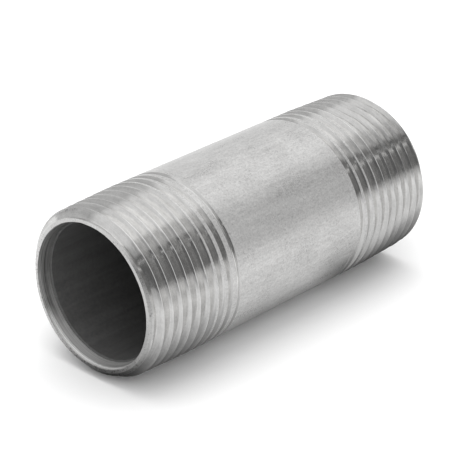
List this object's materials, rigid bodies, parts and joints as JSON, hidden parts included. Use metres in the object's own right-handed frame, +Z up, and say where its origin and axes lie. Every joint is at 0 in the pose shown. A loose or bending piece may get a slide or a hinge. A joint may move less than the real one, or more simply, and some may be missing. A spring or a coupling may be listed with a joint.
{
  "type": "pipe nipple",
  "caption": "Short straight steel pipe with a tapered male pipe thread on each end, used to join two female threaded fittings.",
  "frame": {"origin": "on the pipe's axis at mid length", "axes": "+X along the pipe's axis, towards the far end; -X leaves by the near end; +Z up with the pipe lying on its side"},
  "size_m": [0.0762, 0.0334, 0.0334],
  "materials": {
    "stainless": "pickled satin, machined on the threads and the ends"
  },
  "bodies": {
    "root": {"pipe_nipple": "stainless"}
  },
  "joints": []
}
